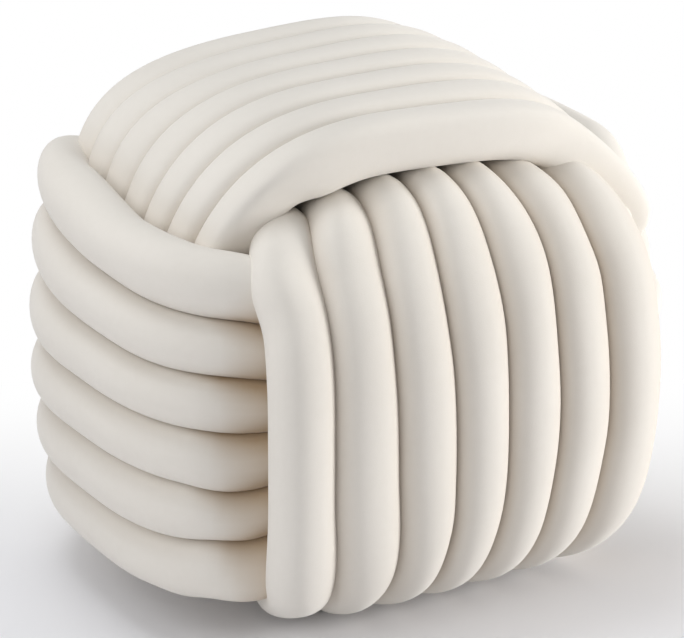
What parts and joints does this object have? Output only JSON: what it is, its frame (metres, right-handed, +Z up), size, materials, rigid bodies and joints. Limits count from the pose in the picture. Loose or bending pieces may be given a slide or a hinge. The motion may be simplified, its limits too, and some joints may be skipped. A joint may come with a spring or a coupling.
{
  "type": "knot pouf",
  "caption": "Cube-shaped floor pouf wound from one thick stuffed fabric tube, its bands of turns locked over one another as a large knot.",
  "frame": {"origin": "middle of the underside, on the surface that the pouf stands on", "axes": "+Z up; the turns of the top band run along X; the upright turns of the front band show on the face towards -Y; the level turns of the side band show on the faces towards -X and +X"},
  "size_m": [0.4464, 0.4114, 0.3758],
  "materials": {
    "cream_fabric": "matt, smooth stretch fabric with a soft velvety sheen, warm cream"
  },
  "bodies": {
    "root": {"knot_pouf": "cream_fabric"}
  },
  "joints": []
}
